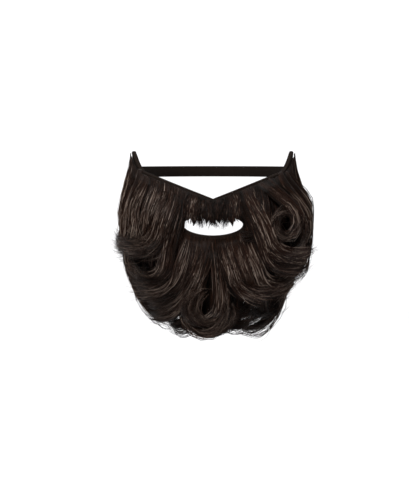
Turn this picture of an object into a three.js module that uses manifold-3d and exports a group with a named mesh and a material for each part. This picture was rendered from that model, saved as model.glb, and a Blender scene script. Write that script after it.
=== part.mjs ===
// A costume beard with its moustache, as it sits on a face.
//
// A shaped fabric backing wraps the lower face from ear to ear, with a notch under the nose, an
// opening for the mouth and a shallow cup under the chin. A folded binding covers its top edge and
// another goes round the mouth. Hair is sewn to the outside in four wefts, each a thin bed with
// locks that fall from it and end in curls. An elastic strap goes round the back of the head.
//
// Millimetres. +Z is up, the beard faces -Y, and +X is to the right as seen from the front. The
// origin is the inside of the backing, at the point of the chin.

import * as THREE from "three";
import { mergeVertices } from "three/addons/utils/BufferGeometryUtils.js";
import Module from "manifold-3d";

const wasm = await Module();
wasm.setup();

// The face that the backing is cut to.
const NOSE_TO_CHIN = 57; // height of the notch under the nose above the point of the chin
const FACE_HALF_WIDTH = 67.5; // at the height of the notch
const EAR_DEPTH = 84; // from the point of the chin back to the line of the ears
const LIP_FORWARD = 4.5; // how far the lips stand forward of the chin

// The backing.
const BACKING_WALL = 1.5;
const BACKING_END = 84; // degrees round the face at which each end is cut
const CHEEK_RISE = 27; // of the top edge above the notch, along the cheek
const SIDEBURN_RISE = 14; // more of the same, where the sideburn goes up in front of the ear
const SIDEBURN_HEIGHT = 36; // of the backing's cut end
const SIDEBURN_SPAN = 26; // degrees of the face over which the sideburn rises
const JAW_LEVEL = 25; // degrees either side of the chin where the bottom edge runs nearly level
const JAW_CURVE = 1.3; // power by which it then climbs to the ear
const CHIN_CUP = 14; // how far the bottom edge hangs below the point of the chin
const MOUTH_WIDTH = 53;
const MOUTH_HEIGHT = 36; // of the mouth's corners above the point of the chin
const MOUTH_RISE = 9; // of the opening's upper edge above the corners
const MOUTH_DROP = 10; // of its lower edge below them

// The bindings, folded over an edge.
const BINDING_THICKNESS = 0.8;
const BINDING_LEG = 2;

// The elastic strap.
const STRAP_WIDTH = 10;
const STRAP_THICKNESS = 1.2;
const STRAP_HEIGHT = 80; // of its middle above the point of the chin
const STRAP_LAP = 10; // degrees of the face along which it is sewn inside each end
const HEAD_BACK = 106; // from the line of the ears to the strap at the back of the head

// The hair.
const HAIR_BED = 2.2; // thickness of the sewn roots
const HAIR_LENGTH = 100; // the unit of each fall
const HAIR_BULK = 16; // the unit of each lift off the face
const CURL_RADIUS = 16;
const LOCK_WIDTH = 13;
const LOCK_FLATNESS = 0.62; // thickness of a lock as a share of its width
const FREE_BELOW = 0.7; // share of CHIN_CUP below the chin's point where a lock leaves the face
const HANG_BACK = 0.12; // how far a free lock leans to the neck, as a share of its drop
const STRAIGHTEN = 0.6; // of its bend that a free lock loses at each step

const CLEARANCE = 0.35; // between pieces that are sewn together

const BEARD_BROWN = 0x32291f;
const BACKING_BROWN = 0x241b17;

// How finely the forms are cut.
const BACKING_COLUMNS = 26;
const BACKING_ROWS = 6;
const BED_ROWS = 3;
const HEAD_HEIGHTS = [0, 0.3, 0.6, 1, 1.4, 1.8]; // shares of NOSE_TO_CHIN
const BED_COLUMN_DEGREES = 7;
const EDGE_STEPS = 26;
const LOCK_SIDES = 5;
const FALL_STEPS = 7;
const QUARTER_TURN = 90;
const CURL_STEP = THREE.MathUtils.degToRad(50);
const STRAP_STEPS = 36;
const FINEST_DETAIL = 0.03; // by which a cut surface may be simplified

// Level sections of the face. Heights are shares of NOSE_TO_CHIN, half widths of FACE_HALF_WIDTH,
// and setbacks, behind the point of the chin, of EAR_DEPTH. The lips add LIP_FORWARD times forward.
const FACE_SECTIONS = [
  { height: -0.6, halfWidth: 0.59, setback: 0.36, forward: 0 },
  { height: -0.25, halfWidth: 0.71, setback: 0.11, forward: 0 },
  { height: 0, halfWidth: 0.815, setback: 0, forward: 0 },
  { height: 0.54, halfWidth: 0.94, setback: 0, forward: 1 },
  { height: 1, halfWidth: 1, setback: 0, forward: 0.9 },
  { height: 1.75, halfWidth: 1.037, setback: 0, forward: 0.45 },
];

// The wefts, in the order in which they lie on each other: a later one makes room for those before.
// The turns are in degrees round the face from the nose, and top and bottom name the curves between
// which the bed lies.
const WEFTS = [
  { name: "moustache_weft", fromTurn: -29, toTurn: 29, top: "binding", bottom: "overMouth" },
  { name: "right_cheek_weft", fromTurn: 29.5, toTurn: 82, top: "binding", bottom: "jaw" },
  { name: "left_cheek_weft", fromTurn: -82, toTurn: -29.5, top: "binding", bottom: "jaw" },
  { name: "chin_weft", fromTurn: -29, toTurn: 29, top: "underMouth", bottom: "jaw" },
];

// The locks that show, a row for each, with values in plain steps.
//   turn     where it is rooted, in degrees round the face from the nose, + to the right
//   height   of the root above the point of the chin, as a share of NOSE_TO_CHIN
//   lean     its heading at the root, in degrees from straight down, + to the right
//   sweep    its heading at the end of the fall
//   fall     length before it curls, as a share of HAIR_LENGTH
//   lift     how far it stands off the face by then, as a share of HAIR_BULK
//   curl     radius of the curl, as a share of CURL_RADIUS
//   turns    of the curl
//   roll     which way it curls, in degrees: 0 right, 90 outwards, 180 left, 270 inwards
//   twist    in degrees along the curl, which draws it out into a ringlet
//   tighten  the curl's radius at the tip, as a share of its first
//   width    as a share of LOCK_WIDTH
const LOCK_COLUMNS = [
  "turn", "height", "lean", "sweep", "fall", "lift", "curl", "turns", "roll", "twist", "tighten",
  "width",
];
const LOCKS = {
  moustache_weft: [
    [-12, 1.05, -5, 0, 0.2, 0.35, 1, 0.05, 180, 0, 1, 0.85],
    [-4, 1, 0, 0, 0.15, 0.25, 1, 0.05, 180, 0, 1, 0.9],
    [4, 1, 0, 0, 0.15, 0.25, 1, 0.05, 0, 0, 1, 0.9],
    [12, 1.05, 5, 0, 0.2, 0.35, 1, 0.05, 0, 0, 1, 0.85],
    [-22, 1.05, -15, -10, 0.65, 0.8, 1.6, 0.3, 160, -40, 0.8, 0.8],
    [-25, 1.1, -5, -10, 0.6, 1, 1.4, 0.4, 175, -10, 0.8, 0.85],
    [-28, 1.15, 5, -20, 0.4, 1, 1.4, 0.3, 160, -50, 0.9, 0.85],
    [22, 1.05, 15, 25, 0.5, 1, 1.4, 0.4, 35, 50, 0.8, 0.85],
    [25, 1.15, 15, 25, 0.45, 1.1, 1.4, 0.35, 35, 55, 0.8, 0.85],
  ],
  right_cheek_weft: [
    [31, 1.15, 15, 0, 0.45, 0.8, 1.2, 0.4, 10, 20, 0.9, 0.6],
    [34, 1.25, 60, 15, 0.4, 1.7, 0.8, 0.9, 210, 15, 0.75, 0.6],
    [41, 1.3, 55, 15, 0.5, 1.7, 1.15, 0.75, 210, 15, 0.9, 0.7],
    [53, 1.4, 40, 40, 0.55, 1.3, 1.2, 0.45, 200, 45, 1, 0.95],
    [61, 1.4, 45, 45, 0.45, 1.2, 2.2, 0.45, 175, 45, 1, 0.95],
    [70, 1.5, 10, 0, 0.75, 1.2, 1.3, 0.5, 195, 30, 0.8, 1],
    [79, 1.6, 0, 0, 0.65, 1, 1.1, 0.5, 190, 30, 0.8, 0.95],
    [44, 0.8, 30, 40, 0.65, 1.2, 1.8, 0.4, 200, 10, 1, 1],
    [60, 0.75, 35, 10, 0.7, 1.1, 2.1, 0.4, 205, 30, 1, 1],
  ],
  left_cheek_weft: [
    [-79, 1.6, 0, 0, 0.6, 0.9, 1, 0.4, 165, 20, 0.8, 0.95],
    [-70, 1.5, -5, 0, 0.6, 1, 1, 0.35, 165, 20, 0.8, 1],
    [-62, 0.8, -40, -40, 0.6, 1.2, 2.1, 0.4, -10, -35, 1, 1],
    [-53, 0.8, -50, -15, 0.45, 1.2, 1.2, 0.45, -20, -40, 0.9, 0.95],
    [-38, 0.75, -15, -15, 0.5, 0.9, 1.3, 0.4, 175, 20, 0.8, 0.95],
    [-60, 1.45, -20, -5, 0.5, 1, 1.1, 0.35, 165, 0, 0.8, 1],
    [-52, 1.35, -30, 15, 0.4, 0.9, 1.2, 0.35, 170, -20, 0.8, 0.95],
    [-41, 1.25, 0, -5, 0.4, 1, 1.2, 0.35, 165, -20, 0.9, 0.95],
    [-32, 1.2, 10, -20, 0.4, 1.1, 1.2, 0.3, 155, -50, 0.9, 1],
  ],
  chin_weft: [
    [22, 0.5, 10, 30, 0.4, 0.9, 1.3, 0.4, 25, 20, 0.7, 0.9],
    [15, 0.4, 10, 25, 0.35, 0.8, 1.4, 0.35, 20, 35, 0.7, 0.9],
    [8, 0.4, 5, 25, 0.35, 0.9, 1.4, 0.3, 20, 50, 0.8, 0.9],
    [-20, 0.45, 5, -25, 0.35, 0.9, 1.7, 0.3, 160, -30, 0.8, 0.9],
    [-12, 0.4, 0, -45, 0.55, 0.9, 1.4, 0.2, 150, -60, 0.9, 0.95],
    [-6, 0.4, -5, -40, 0.6, 0.9, 1.7, 0.2, 180, 10, 1, 0.95],
    [-2, 0.4, -15, -20, 0.6, 0.9, 1.1, 0.65, 5, -30, 1, 0.7],
    [0, 0.4, 10, 5, 0.55, 1, 0.95, 0.75, 170, 0, 1, 0.55],
  ],
};

// Rows of like locks under those. Each row has count locks spread evenly between two turns, and
// they curl left and right in alternation.
const UNDER_COLUMNS = ["fromTurn", "toTurn", "count", "height", "fall", "lift", "curl", "turns"];
const UNDER_LOCKS = {
  moustache_weft: [],
  right_cheek_weft: [
    [33, 43, 2, 1.15, 0.3, 0.6, 0.9, 0.3],
    [36, 60, 3, 0.3, 0.45, 0.6, 0.9, 0.5],
    [60, 76, 2, 0.7, 0.55, 0.75, 1, 0.45],
    [58, 70, 2, 1.3, 0.4, 0.7, 1, 0.3],
  ],
  left_cheek_weft: [
    [-60, -36, 3, 0.3, 0.45, 0.6, 0.9, 0.5],
    [-76, -56, 3, 0.7, 0.55, 0.75, 1, 0.45],
  ],
  chin_weft: [[-24, 24, 5, 0, 0.4, 0.35, 0.8, 0.5]],
};
const UNDER_TWIST = 40;
const UNDER_TIGHTEN = 0.8;

// Thickness of a lock along its length, as shares.
const LOCK_TAPER = [
  { along: 0, size: 0.6 },
  { along: 0.2, size: 0.9 },
  { along: 0.5, size: 1 },
  { along: 0.8, size: 0.82 },
  { along: 1, size: 0.3 },
];

const radians = THREE.MathUtils.degToRad;
const smoothstep = THREE.MathUtils.smoothstep;

// A smooth value between the rows of a table, from one column by another.
function between(rows, at, column, value) {
  const last = rows.length - 1;
  const clamped = THREE.MathUtils.clamp(value, rows[0][at], rows[last][at]);
  let i = 0;
  while (i < last - 1 && rows[i + 1][at] < clamped) i += 1;
  const slope = (k) => {
    const a = rows[Math.max(k - 1, 0)];
    const b = rows[Math.min(k + 1, last)];
    return (b[column] - a[column]) / (b[at] - a[at]);
  };
  const step = rows[i + 1][at] - rows[i][at];
  const t = (clamped - rows[i][at]) / step;
  const rise = rows[i + 1][column] - rows[i][column];
  const blend = t * t * (3 - 2 * t);
  const start = slope(i) * step * t * (1 - t) ** 2;
  const end = slope(i + 1) * step * t * t * (t - 1);
  return rows[i][column] + rise * blend + start + end;
}

// The face, as turn degrees round it from the nose and a height.

function halfWidthAt(height) {
  return FACE_HALF_WIDTH * between(FACE_SECTIONS, "height", "halfWidth", height / NOSE_TO_CHIN);
}

function frontAt(height) {
  const share = height / NOSE_TO_CHIN;
  const setback = EAR_DEPTH * between(FACE_SECTIONS, "height", "setback", share);
  return setback - LIP_FORWARD * between(FACE_SECTIONS, "height", "forward", share);
}

function facePoint(turn, height) {
  const front = frontAt(height);
  return new THREE.Vector3(
    halfWidthAt(height) * Math.sin(radians(turn)),
    front + (EAR_DEPTH - front) * (1 - Math.cos(radians(turn))),
    height,
  );
}

function faceNormal(turn, height) {
  const nudge = 0.5;
  const across = facePoint(turn + nudge, height).sub(facePoint(turn - nudge, height));
  const up = facePoint(turn, height + nudge).sub(facePoint(turn, height - nudge));
  return across.cross(up).normalize();
}

function overFace(turn, height, lift) {
  return facePoint(turn, height).addScaledVector(faceNormal(turn, height), lift);
}

// The edges of the backing and of the beds, as heights at a turn.

function topEdge(turn) {
  const side = Math.abs(turn);
  const sideburn = smoothstep(side, BACKING_END - SIDEBURN_SPAN, BACKING_END);
  return NOSE_TO_CHIN + CHEEK_RISE * Math.sin(radians(side)) + SIDEBURN_RISE * sideburn;
}

function jawEdge(turn) {
  const rise = topEdge(BACKING_END) - SIDEBURN_HEIGHT + CHIN_CUP;
  return -CHIN_CUP + rise * smoothstep(Math.abs(turn), JAW_LEVEL, BACKING_END) ** JAW_CURVE;
}

// The mouth's edge at a distance from the middle: its height above or below the corners.
function mouthEdge(turn, reach) {
  const x = halfWidthAt(MOUTH_HEIGHT) * Math.sin(radians(turn));
  const share = Math.min(Math.abs(x) / (MOUTH_WIDTH / 2), 1);
  return MOUTH_HEIGHT + reach * Math.sqrt(1 - share * share);
}

const BINDING_ROOM = BINDING_LEG + CLEARANCE;
const EDGES = {
  binding: (turn) => topEdge(turn) - BINDING_ROOM,
  overMouth: (turn) => mouthEdge(turn, MOUTH_RISE) + BINDING_ROOM,
  underMouth: (turn) => mouthEdge(turn, -MOUTH_DROP) - BINDING_ROOM,
  jaw: jawEdge,
};

// Solids.

// A closed mesh through loops of as many points each. A ring joins its last loop to its first;
// otherwise each end is closed by a strip between the loop's first half and its second.
function loft(loops, isRing = false) {
  const size = loops[0].length;
  const positions = loops.flat().flatMap((p) => [p.x, p.y, p.z]);
  const index = [];
  const spans = isRing ? loops.length : loops.length - 1;
  for (let i = 0; i < spans; i += 1) {
    const here = i * size;
    const next = ((i + 1) % loops.length) * size;
    for (let k = 0; k < size; k += 1) {
      const after = (k + 1) % size;
      index.push(here + k, here + after, next + after, here + k, next + after, next + k);
    }
  }
  if (!isRing) {
    const end = (loops.length - 1) * size;
    for (let k = 0, far = size - 1; far - k > 1; k += 1, far -= 1) {
      index.push(k, far, far - 1, end + k, end + far - 1, end + far);
      if (far - k > 2) index.push(k, far - 1, k + 1, end + k, end + k + 1, end + far - 1);
    }
  }
  const geometry = new THREE.BufferGeometry();
  geometry.setAttribute("position", new THREE.Float32BufferAttribute(positions, 3));
  geometry.setIndex(signedVolume(positions, index) < 0 ? index.reverse() : index);
  return geometry;
}

function signedVolume(positions, index) {
  const corner = (n) => new THREE.Vector3().fromArray(positions, 3 * index[n]);
  let sum = 0;
  for (let i = 0; i < index.length; i += 3) {
    sum += corner(i).dot(corner(i + 1).cross(corner(i + 2)));
  }
  return sum / 6;
}

function solidOf(geometry) {
  const bare = geometry.clone();
  bare.deleteAttribute("normal");
  bare.deleteAttribute("uv");
  const merged = mergeVertices(bare, 1e-4);
  return new wasm.Manifold(
    new wasm.Mesh({
      numProp: 3,
      vertProperties: new Float32Array(merged.attributes.position.array),
      triVerts: new Uint32Array(merged.index.array),
    }),
  );
}

function geometryOf(solid) {
  const mesh = solid.getMesh();
  const geometry = new THREE.BufferGeometry();
  geometry.setAttribute("position", new THREE.BufferAttribute(mesh.vertProperties, 3));
  geometry.setIndex(new THREE.BufferAttribute(mesh.triVerts, 1));
  geometry.computeVertexNormals();
  return geometry;
}

function joined(solids) {
  return solids.reduce((all, solid) => all.add(solid));
}

// The largest body of a solid, without the slivers that a cut can leave.
function mainBody(solid) {
  const bodies = solid.asOriginal().simplify(FINEST_DETAIL).decompose();
  return bodies.reduce((a, b) => (b.volume() > a.volume() ? b : a));
}

// A wall that follows the face between two lifts, between two turns and two edges.
function faceWall({ fromTurn, toTurn, top, bottom, low, high, columns, rows }) {
  const loops = [];
  for (let i = 0; i <= columns; i += 1) {
    const turn = fromTurn + ((toTurn - fromTurn) * i) / columns;
    const heights = [];
    for (let j = 0; j <= rows; j += 1) {
      heights.push(THREE.MathUtils.lerp(top(turn), bottom(turn), j / rows));
    }
    const outside = heights.map((height) => overFace(turn, height, high));
    const inside = heights.map((height) => overFace(turn, height, low)).reverse();
    loops.push([...outside, ...inside]);
  }
  return loft(loops);
}

// Points round the mouth, as turn and height.
function mouthOutline() {
  return Array.from({ length: EDGE_STEPS }, (_, i) => {
    const angle = (2 * Math.PI * (i + 0.5)) / EDGE_STEPS;
    const reach = Math.sin(angle) > 0 ? MOUTH_RISE : MOUTH_DROP;
    const height = MOUTH_HEIGHT + reach * Math.sin(angle);
    const x = (MOUTH_WIDTH / 2) * Math.cos(angle);
    return { turn: THREE.MathUtils.radToDeg(Math.asin(x / halfWidthAt(height))), height };
  });
}

// The block that cuts the mouth square to the face.
function mouthCutter() {
  const outline = mouthOutline();
  const depth = 3 * BACKING_WALL;
  const ring = (lift) => outline.map(({ turn, height }) => overFace(turn, height, lift));
  return loft([ring(-depth), ring(BACKING_WALL + depth)]);
}

// The backing before the mouth is cut, between two lifts.
function uncutBacking(low, high) {
  const grid = { columns: BACKING_COLUMNS, rows: BACKING_ROWS };
  const ends = { fromTurn: -BACKING_END, toTurn: BACKING_END };
  return solidOf(faceWall({ ...ends, ...grid, top: topEdge, bottom: jawEdge, low, high }));
}

function backing() {
  return geometryOf(uncutBacking(0, BACKING_WALL).subtract(solidOf(mouthCutter())));
}

// The section of a binding, as lifts off the face and distances from the edge into the fabric.
function bindingFold() {
  const reach = CLEARANCE + BINDING_THICKNESS;
  const inner = BACKING_WALL + CLEARANCE;
  const outer = BACKING_WALL + reach;
  return [
    [-reach, BINDING_LEG],
    [-reach, -reach],
    [outer, -reach],
    [outer, BINDING_LEG],
    [inner, BINDING_LEG],
    [inner, -CLEARANCE],
    [-CLEARANCE, -CLEARANCE],
    [-CLEARANCE, BINDING_LEG],
  ];
}

// The section of the room that a binding needs.
function bindingRoom() {
  const reach = 2 * CLEARANCE + BINDING_THICKNESS;
  const leg = BINDING_LEG + CLEARANCE;
  return [
    [-reach, leg],
    [-reach, -reach],
    [BACKING_WALL + reach, -reach],
    [BACKING_WALL + reach, leg],
  ];
}

// A section carried along an edge, whose points each have a turn, a height and the direction into
// the fabric.
function alongEdge(edge, section, isRing) {
  const loops = edge.map(({ turn, height, into }) => {
    const at = facePoint(turn, height);
    const out = faceNormal(turn, height);
    return section.map(([lift, leg]) =>
      at.clone().addScaledVector(out, lift).addScaledVector(into, leg),
    );
  });
  return loft(loops, isRing);
}

// Adds to each point of an edge the direction into the fabric, along the face.
function withInward(points, isRing) {
  const count = points.length;
  return points.map((point, i) => {
    const before = points[isRing ? (i + count - 1) % count : Math.max(i - 1, 0)];
    const after = points[isRing ? (i + 1) % count : Math.min(i + 1, count - 1)];
    const along = facePoint(after.turn, after.height).sub(facePoint(before.turn, before.height));
    const out = faceNormal(point.turn, point.height);
    return { ...point, into: along.cross(out).normalize() };
  });
}

function topBinding(section) {
  const points = [];
  for (let i = 0; i <= EDGE_STEPS; i += 1) {
    const turn = BACKING_END * ((2 * i) / EDGE_STEPS - 1);
    points.push({ turn, height: topEdge(turn) });
  }
  return alongEdge(withInward(points, false), section, false);
}

function mouthBinding(section) {
  return alongEdge(withInward(mouthOutline(), true), section, true);
}

// The strap seen from above: inside the backing's ends, then round the back of the head.
function strapLine(lift) {
  const start = BACKING_END - STRAP_LAP;
  const lapSteps = 4;
  const side = [];
  for (let i = 0; i <= lapSteps; i += 1) {
    const turn = start + ((QUARTER_TURN - start) * i) / lapSteps;
    const point = overFace(turn, STRAP_HEIGHT, lift);
    side.push(new THREE.Vector2(point.x, point.y));
  }
  const last = side[side.length - 1];
  const back = [];
  for (let i = 1; i < STRAP_STEPS; i += 1) {
    const angle = (Math.PI * i) / STRAP_STEPS;
    const depth = HEAD_BACK + lift;
    back.push(new THREE.Vector2(last.x * Math.cos(angle), last.y + depth * Math.sin(angle)));
  }
  const otherSide = side.map((p) => new THREE.Vector2(-p.x, p.y)).reverse();
  return [...side, ...back, ...otherSide];
}

function strap() {
  const outside = strapLine(-CLEARANCE);
  const inside = strapLine(-CLEARANCE - STRAP_THICKNESS).reverse();
  const outline = new THREE.Shape([...outside, ...inside]);
  const band = new THREE.ExtrudeGeometry(outline, { depth: STRAP_WIDTH, bevelEnabled: false });
  band.translate(0, 0, STRAP_HEIGHT - STRAP_WIDTH / 2);
  return band;
}

// Hair.

function turned(vector, axis, angle) {
  return vector.clone().applyAxisAngle(axis, angle);
}

// The line that a lock follows, as points with the directions along it and out of its flat side.
// It lies on the face for its fall, hangs free past the chin, and then curls.
function lockLine(lock) {
  const line = [];
  const fall = lock.fall * HAIR_LENGTH;
  const steps = Math.max(3, Math.round(lock.fall * FALL_STEPS));
  const step = fall / steps;
  const rootLift = BACKING_WALL + HAIR_BED;
  const fullLift = Math.max(lock.lift * HAIR_BULK, rootLift);
  const free = -CHIN_CUP * FREE_BELOW;
  let turn = lock.turn;
  let height = lock.height * NOSE_TO_CHIN;
  let hanging = false;
  let along = new THREE.Vector3(0, 0, -1);
  for (let i = 0; i <= steps; i += 1) {
    const share = i / steps;
    const heading = radians(THREE.MathUtils.lerp(lock.lean, lock.sweep, share));
    if (hanging) {
      const down = new THREE.Vector3(Math.sin(heading), -HANG_BACK, -Math.cos(heading));
      along = along.lerp(down.normalize(), STRAIGHTEN).normalize();
      line.push({ at: line[line.length - 1].at.clone().addScaledVector(along, step) });
      continue;
    }
    const lift = THREE.MathUtils.lerp(rootLift, fullLift, smoothstep(share, 0, 1));
    line.push({ at: overFace(turn, height, lift) });
    if (i > 0) along = line[i].at.clone().sub(line[i - 1].at).normalize();
    const perDegree = overFace(turn + 1, height, lift).distanceTo(overFace(turn, height, lift));
    const perHeight = overFace(turn, height + 1, lift).distanceTo(overFace(turn, height, lift));
    if (height < free) hanging = true;
    turn += (Math.sin(heading) * step) / perDegree;
    height -= (Math.cos(heading) * step) / perHeight;
  }
  const out = faceNormal(turn, Math.max(height, free));
  if (hanging) out.setZ(0);
  out.addScaledVector(along, -out.dot(along)).normalize();
  const rightward = new THREE.Vector3().crossVectors(along, out);
  if (rightward.x < 0) rightward.negate();
  const roll = radians(lock.roll);
  let toward = rightward.multiplyScalar(Math.cos(roll)).addScaledVector(out, Math.sin(roll));
  let axis = new THREE.Vector3().crossVectors(along, toward);
  const curlSteps = Math.max(1, Math.round((lock.turns * 2 * Math.PI) / CURL_STEP));
  const angle = (lock.turns * 2 * Math.PI) / curlSteps;
  for (let i = 0; i < curlSteps; i += 1) {
    const radius = CURL_RADIUS * lock.curl * THREE.MathUtils.lerp(1, lock.tighten, i / curlSteps);
    const half = turned(along, axis, angle / 2);
    const at = line[line.length - 1].at.clone().addScaledVector(half, radius * angle);
    line.push({ at });
    along = turned(along, axis, angle);
    toward = turned(toward, axis, angle);
    toward = turned(toward, along, radians(lock.twist) / curlSteps);
    axis = new THREE.Vector3().crossVectors(along, toward);
  }
  return withFrames(line, faceNormal(lock.turn, lock.height * NOSE_TO_CHIN));
}

// Adds to each point the direction along the line, and a normal carried along it without twist.
function withFrames(line, firstOut) {
  let out = firstOut.clone();
  return line.map(({ at }, i) => {
    const before = line[Math.max(i - 1, 0)].at;
    const after = line[Math.min(i + 1, line.length - 1)].at;
    const along = after.clone().sub(before).normalize();
    out = out.addScaledVector(along, -out.dot(along)).normalize();
    return { at, along, out: out.clone() };
  });
}

function lockSolid(lock, grow) {
  const line = lockLine(lock);
  const width = lock.width * LOCK_WIDTH;
  const loops = line.map(({ at, along, out }, i) => {
    const size = between(LOCK_TAPER, "along", "size", i / (line.length - 1));
    const across = new THREE.Vector3().crossVectors(along, out);
    const halfWidth = (width * size) / 2 + grow;
    const halfThickness = (width * size * LOCK_FLATNESS) / 2 + grow;
    const loop = [];
    for (let k = 0; k < LOCK_SIDES; k += 1) {
      const angle = (2 * Math.PI * (k + 0.5)) / LOCK_SIDES;
      loop.push(
        at
          .clone()
          .addScaledVector(across, halfWidth * Math.cos(angle))
          .addScaledVector(out, halfThickness * Math.sin(angle)),
      );
    }
    return loop;
  });
  return solidOf(loft(loops));
}

// The rows of a table, each as an object with the columns' names.
function named(columns, rows) {
  return rows.map((row) => Object.fromEntries(columns.map((column, i) => [column, row[i]])));
}

function underLocks(row) {
  return Array.from({ length: row.count }, (_, i) => ({
    ...row,
    turn: THREE.MathUtils.lerp(row.fromTurn, row.toTurn, i / (row.count - 1)),
    lean: 0,
    sweep: 0,
    roll: i % 2 ? 0 : 180,
    twist: UNDER_TWIST,
    tighten: UNDER_TIGHTEN,
    width: 1,
  }));
}

function locksOf(weft) {
  const under = named(UNDER_COLUMNS, UNDER_LOCKS[weft.name]).flatMap(underLocks);
  return [...under, ...named(LOCK_COLUMNS, LOCKS[weft.name])];
}

// The sewn roots of a weft, as a wall on the outside of the backing.
function bed(weft, grow) {
  const span = weft.toTurn - weft.fromTurn;
  return solidOf(
    faceWall({
      fromTurn: weft.fromTurn - grow,
      toTurn: weft.toTurn + grow,
      top: (turn) => EDGES[weft.top](turn) + grow,
      bottom: (turn) => EDGES[weft.bottom](turn) - grow,
      low: BACKING_WALL,
      high: BACKING_WALL + CLEARANCE + HAIR_BED + grow,
      columns: Math.round(span / BED_COLUMN_DEGREES),
      rows: BED_ROWS,
    }),
  );
}

// The space that the locks keep out of: the head and all that is sewn flat on it.
function headRoom() {
  const lift = BACKING_WALL + 2 * CLEARANCE + BINDING_THICKNESS;
  const heights = [-CHIN_CUP, -CHIN_CUP / 2];
  for (const share of HEAD_HEIGHTS) heights.push(share * NOSE_TO_CHIN);
  const steps = BACKING_COLUMNS;
  const loops = heights.map((height) => {
    const loop = [];
    for (let i = 0; i <= steps; i += 1) {
      loop.push(overFace(QUARTER_TURN * ((2 * i) / steps - 1), height, lift));
    }
    const chord = [...loop].reverse().map((p) => p.clone().setY(EAR_DEPTH + lift));
    return [...loop, ...chord];
  });
  return solidOf(loft(loops));
}

function hair(weft, grow, head, sewn) {
  const locks = joined(locksOf(weft).map((lock) => lockSolid(lock, grow)));
  return locks.subtract(head).add(bed(weft, grow)).subtract(sewn);
}

function wefts() {
  const head = headRoom();
  const sewn = joined([
    uncutBacking(-BACKING_WALL, BACKING_WALL + CLEARANCE),
    solidOf(topBinding(bindingRoom())),
    solidOf(mouthBinding(bindingRoom())),
  ]);
  const placed = [];
  return WEFTS.map((weft) => {
    const whole = hair(weft, 0, head, sewn);
    const solid = placed.reduce((rest, taken) => rest.subtract(taken), whole);
    placed.push(hair(weft, CLEARANCE, head, sewn));
    return { name: weft.name, geometry: geometryOf(mainBody(solid)) };
  });
}

function piece(name, geometry, color, roughness) {
  const material = new THREE.MeshStandardMaterial({ color, roughness, metalness: 0 });
  const mesh = new THREE.Mesh(geometry, material);
  mesh.name = name;
  return mesh;
}

const beard = new THREE.Group();
beard.add(piece("backing", backing(), BACKING_BROWN, 0.9));
beard.add(piece("top_binding", topBinding(bindingFold()), BACKING_BROWN, 0.85));
beard.add(piece("mouth_binding", mouthBinding(bindingFold()), BACKING_BROWN, 0.85));
beard.add(piece("elastic_strap", strap(), BACKING_BROWN, 0.8));
for (const { name, geometry } of wefts()) {
  beard.add(piece(name, geometry, BEARD_BROWN, 0.5));
}

export default beard;
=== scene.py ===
"""A costume beard with its moustache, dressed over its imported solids.

Every weft of hair is made of strands: thin closed tubes that follow the same locks as the solids
do, gathered into wisps and laid over dark core locks. The cloth backing, its folded bindings and
the elastic strap are fine meshes with a knit. Sizes are in millimetres up to the meshes, which are
in metres, and the frame is the part's.
"""

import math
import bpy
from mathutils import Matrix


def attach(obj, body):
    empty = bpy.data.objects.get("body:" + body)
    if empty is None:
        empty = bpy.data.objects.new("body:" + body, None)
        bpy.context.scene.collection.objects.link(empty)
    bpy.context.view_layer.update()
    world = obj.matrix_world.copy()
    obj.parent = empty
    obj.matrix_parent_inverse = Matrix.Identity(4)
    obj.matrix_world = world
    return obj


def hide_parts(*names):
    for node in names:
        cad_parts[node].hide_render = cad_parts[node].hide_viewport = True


bl_info = {
    "name": "Costume Beard",
    "version": (1, 0, 0),
    "blender": (4, 5, 0),
    "location": "View3D > Sidebar > Beard",
    "description": "Dresses a costume beard with strands of hair, cloth and bindings",
    "category": "Object",
}

from types import SimpleNamespace

import bmesh
import bpy
import numpy as np
from mathutils import Vector

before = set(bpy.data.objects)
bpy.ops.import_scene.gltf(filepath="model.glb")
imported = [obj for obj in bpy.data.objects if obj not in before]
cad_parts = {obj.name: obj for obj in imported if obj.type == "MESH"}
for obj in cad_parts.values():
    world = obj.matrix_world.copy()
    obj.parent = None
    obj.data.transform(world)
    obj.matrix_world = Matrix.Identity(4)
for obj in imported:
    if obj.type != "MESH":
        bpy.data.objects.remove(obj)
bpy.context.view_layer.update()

MM = 0.001

# The form that the backing is cut to and the hair that it carries, in millimetres and degrees.
NOSE_TO_CHIN = 57.0
FACE_HALF_WIDTH = 67.5
EAR_DEPTH = 84.0
LIP_FORWARD = 4.5
BACKING_WALL = 1.5
BACKING_END = 84.0
CHEEK_RISE = 27.0
SIDEBURN_RISE = 14.0
SIDEBURN_HEIGHT = 36.0
SIDEBURN_SPAN = 26.0
JAW_LEVEL = 25.0
JAW_CURVE = 1.3
CHIN_CUP = 14.0
MOUTH_WIDTH = 53.0
MOUTH_HEIGHT = 36.0
MOUTH_RISE = 9.0
MOUTH_DROP = 10.0
BINDING_THICKNESS = 0.8
BINDING_LEG = 2.0
STRAP_WIDTH = 10.0
STRAP_THICKNESS = 1.2
STRAP_HEIGHT = 80.0
STRAP_LAP = 10.0
HEAD_BACK = 106.0
HAIR_BED = 2.2
HAIR_LENGTH = 100.0
HAIR_BULK = 16.0
CURL_RADIUS = 16.0
LOCK_WIDTH = 13.0
LOCK_FLATNESS = 0.62
FREE_BELOW = 0.7
HANG_BACK = 0.12
# A lock that hangs free loses STRAIGHTEN of its bend in STRAIGHTEN_OVER of its fall.
STRAIGHTEN = 0.6
STRAIGHTEN_OVER = 14.0
# What touching solids keep between them.
CLEARANCE = 0.35

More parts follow.
